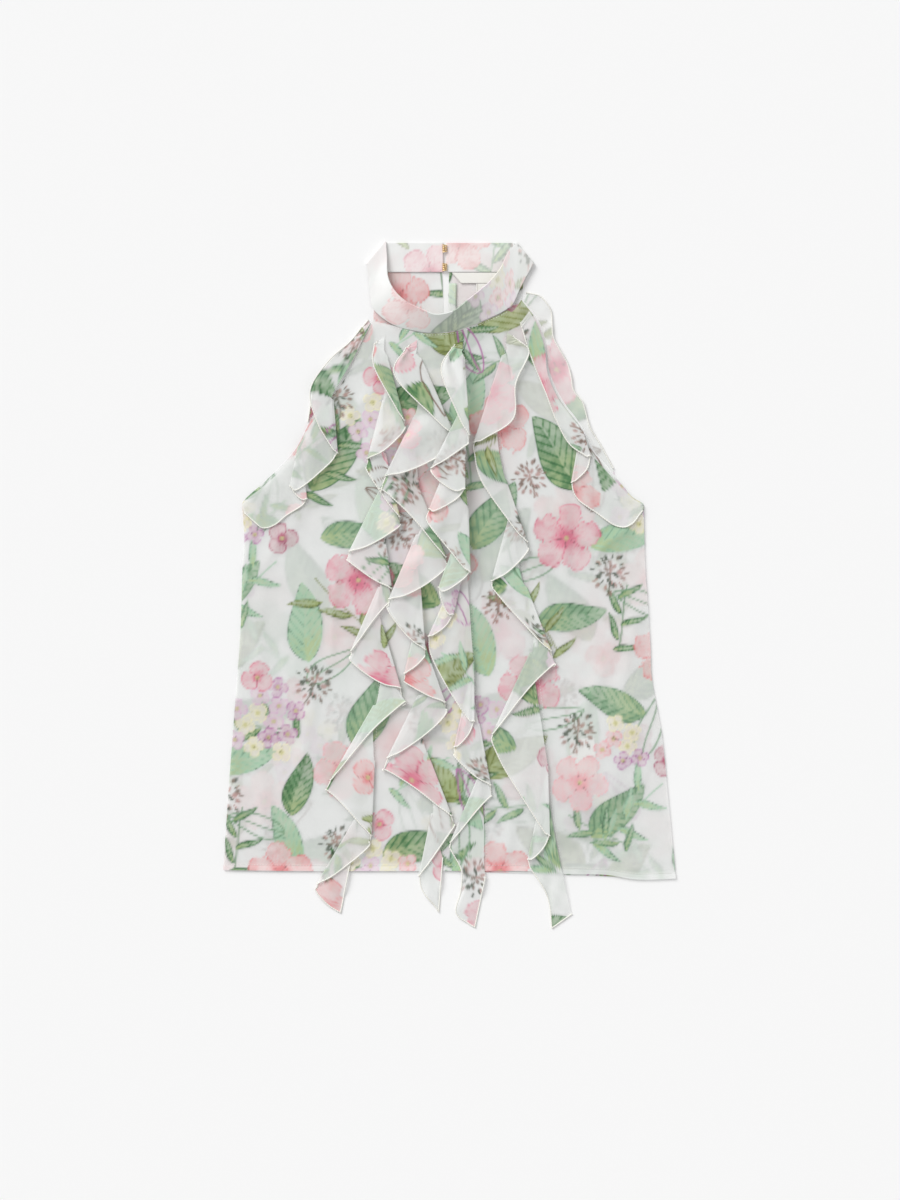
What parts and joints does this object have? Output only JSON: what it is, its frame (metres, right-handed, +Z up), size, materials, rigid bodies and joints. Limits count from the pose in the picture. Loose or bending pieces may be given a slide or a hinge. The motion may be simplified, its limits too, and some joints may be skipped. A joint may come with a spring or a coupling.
{
  "type": "chiffon top",
  "caption": "Sleeveless halter-neck chiffon blouse lying flat, with a stand collar, cascade ruffles down the front and frilled armholes.",
  "frame": {"origin": "middle of the garment's outline, on the surface that it lies on", "axes": "+Y from the hem to the neck, +X to the right of a viewer who looks straight down at the front, +Z up from the surface"},
  "size_m": [0.475, 0.7213, 0.0225],
  "materials": {
    "chiffon": "semi-sheer crepe chiffon with a watercolour floral print",
    "ruffle": "single layer of the same chiffon, paler on its wrong side, with an overlocked edge",
    "label": "smooth woven tape",
    "gold": "polished gold-coloured wire"
  },
  "bodies": {
    "root": {"front_panel": "chiffon", "back_panel": "chiffon", "slit_facing": "chiffon", "collar": "chiffon", "fastening_1": "gold", "fastening_2": "gold", "cascade_ruffle_1": "ruffle", "cascade_ruffle_2": "ruffle", "cascade_ruffle_3": "ruffle", "cascade_ruffle_4": "ruffle", "armhole_ruffle_front_left": "ruffle", "armhole_ruffle_front_right": "ruffle", "armhole_ruffle_back_left": "ruffle", "armhole_ruffle_back_right": "ruffle", "neck_label": "label", "size_label": "label", "care_label": "label"}
  },
  "joints": []
}
